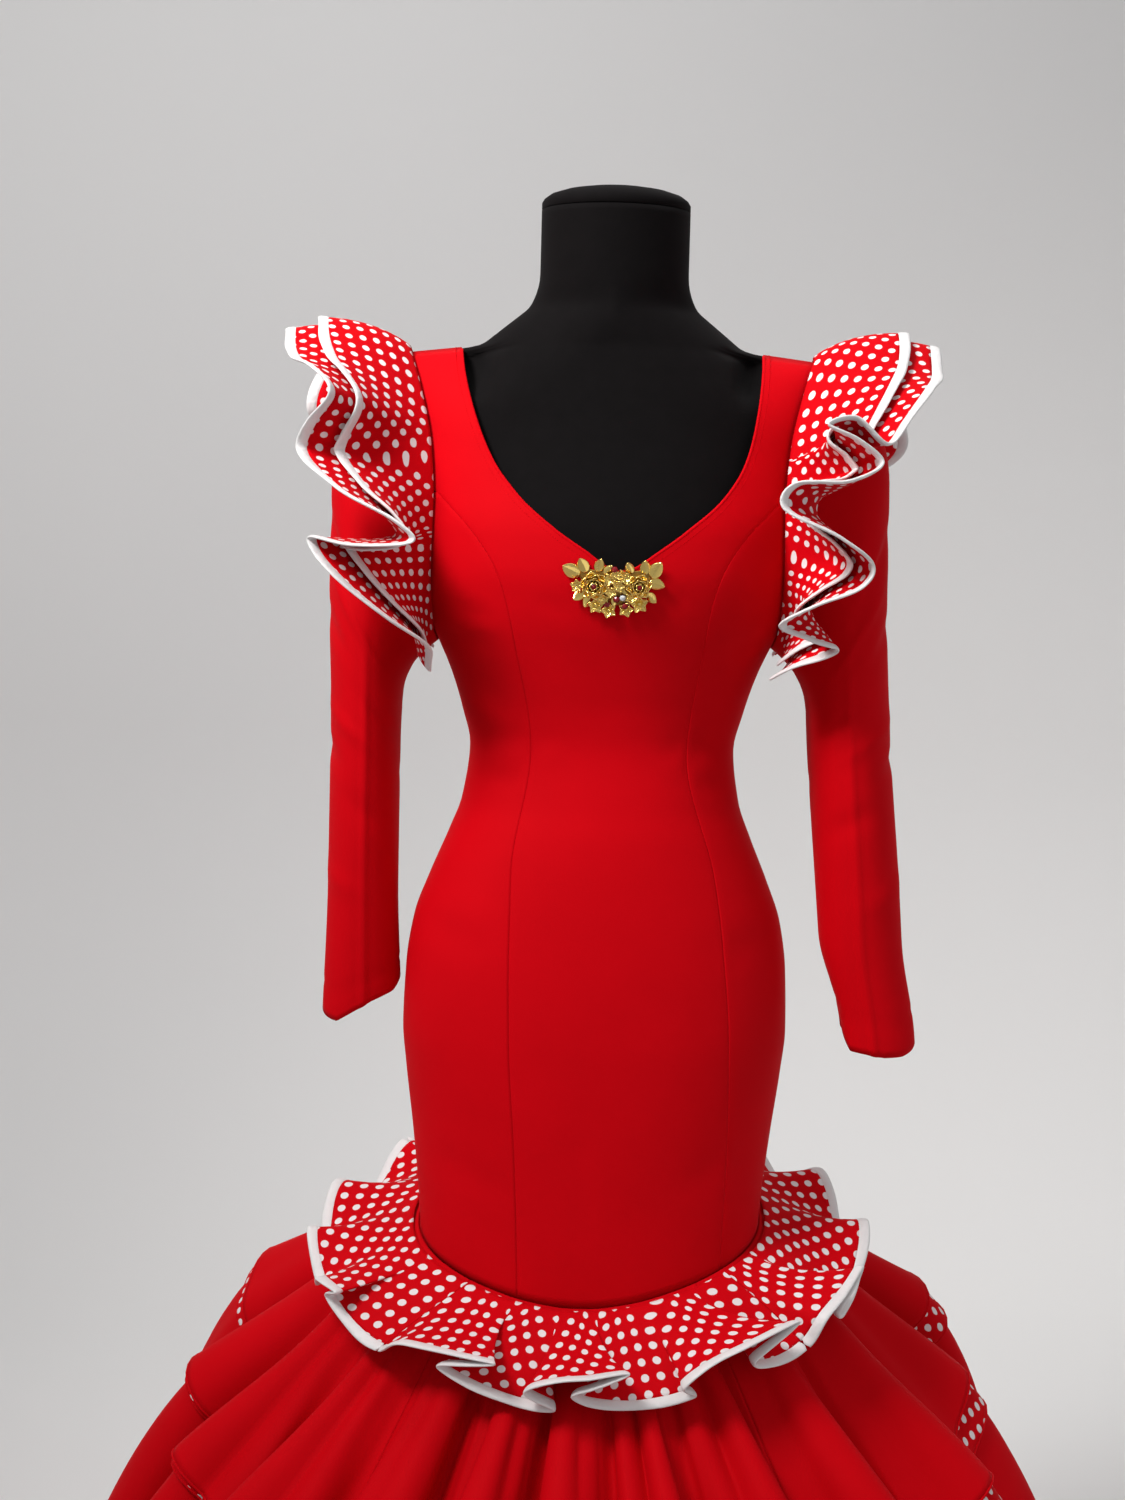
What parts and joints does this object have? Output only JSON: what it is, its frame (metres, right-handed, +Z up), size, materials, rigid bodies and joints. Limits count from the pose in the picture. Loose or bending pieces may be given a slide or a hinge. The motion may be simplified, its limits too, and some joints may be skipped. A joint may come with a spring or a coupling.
{
  "type": "flamenco dress on a dress form",
  "caption": "Long-sleeved mermaid flamenco dress with dotted shoulder and hip flounces, white bias bindings, a flared pleated skirt and a brooch, on a limbless dress form.",
  "frame": {"origin": "on the floor, at the centre of the underside of the stand's base", "axes": "+Z up along the pole, -Y the dress's front, +X the wearer's left"},
  "size_m": [1.1133, 1.0627, 1.5673],
  "materials": {
    "red_crepe": "matte crepe",
    "dotted_crepe": "matte crepe, printed with small white dots",
    "white_binding": "folded bias binding, softly sheened",
    "black_jersey": "stretched matte jersey",
    "gold": "bright gilt, cast",
    "zip_metal": "lacquered to match the cloth",
    "stand_metal": "brushed"
  },
  "bodies": {
    "dress": {"back_L": "red_crepe", "back_R": "red_crepe", "binding_long_L": "white_binding", "binding_long_R": "white_binding", "binding_short_L": "white_binding", "binding_short_R": "white_binding", "brooch_plate": "gold", "brooch_rose_L": "gold", "brooch_rose_R": "gold", "form_base": "stand_metal", "form_boss": "stand_metal", "form_neck_cap": "black_jersey", "form_pole": "stand_metal", "form_torso": "black_jersey", "front_centre": "red_crepe", "hip_binding_back": "white_binding", "hip_binding_front": "white_binding", "hip_binding_left": "white_binding", "hip_binding_right": "white_binding", "hip_flounce_back": "dotted_crepe", "hip_flounce_front": "dotted_crepe", "hip_flounce_left": "dotted_crepe", "hip_flounce_right": "dotted_crepe", "peek_flounce_back": "dotted_crepe", "peek_flounce_front": "dotted_crepe", "peek_flounce_left": "dotted_crepe", "peek_flounce_right": "dotted_crepe", "shoulder_flounce_long_L": "dotted_crepe", "shoulder_flounce_long_R": "dotted_crepe", "shoulder_flounce_short_L": "dotted_crepe", "shoulder_flounce_short_R": "dotted_crepe", "side_back_L": "red_crepe", "side_back_R": "red_crepe", "side_front_L": "red_crepe", "side_front_R": "red_crepe", "skirt_back": "red_crepe", "skirt_front": "red_crepe", "skirt_left": "red_crepe", "skirt_right": "red_crepe", "sleeve_L": "red_crepe", "sleeve_R": "red_crepe", "tier_back": "red_crepe", "tier_front": "red_crepe", "tier_left": "red_crepe", "tier_right": "red_crepe", "zip_chain": "zip_metal", "zip_slider": "zip_metal"},
    "pull": {"zip_pull": "zip_metal"}
  },
  "joints": [
    {"name": "pull_swing", "type": "hinge", "parent": "dress", "child": "pull", "pos_m": [0, 0.1071, 1.278], "axis": [1, 0, 0], "range_deg": [0, 160]}
  ]
}
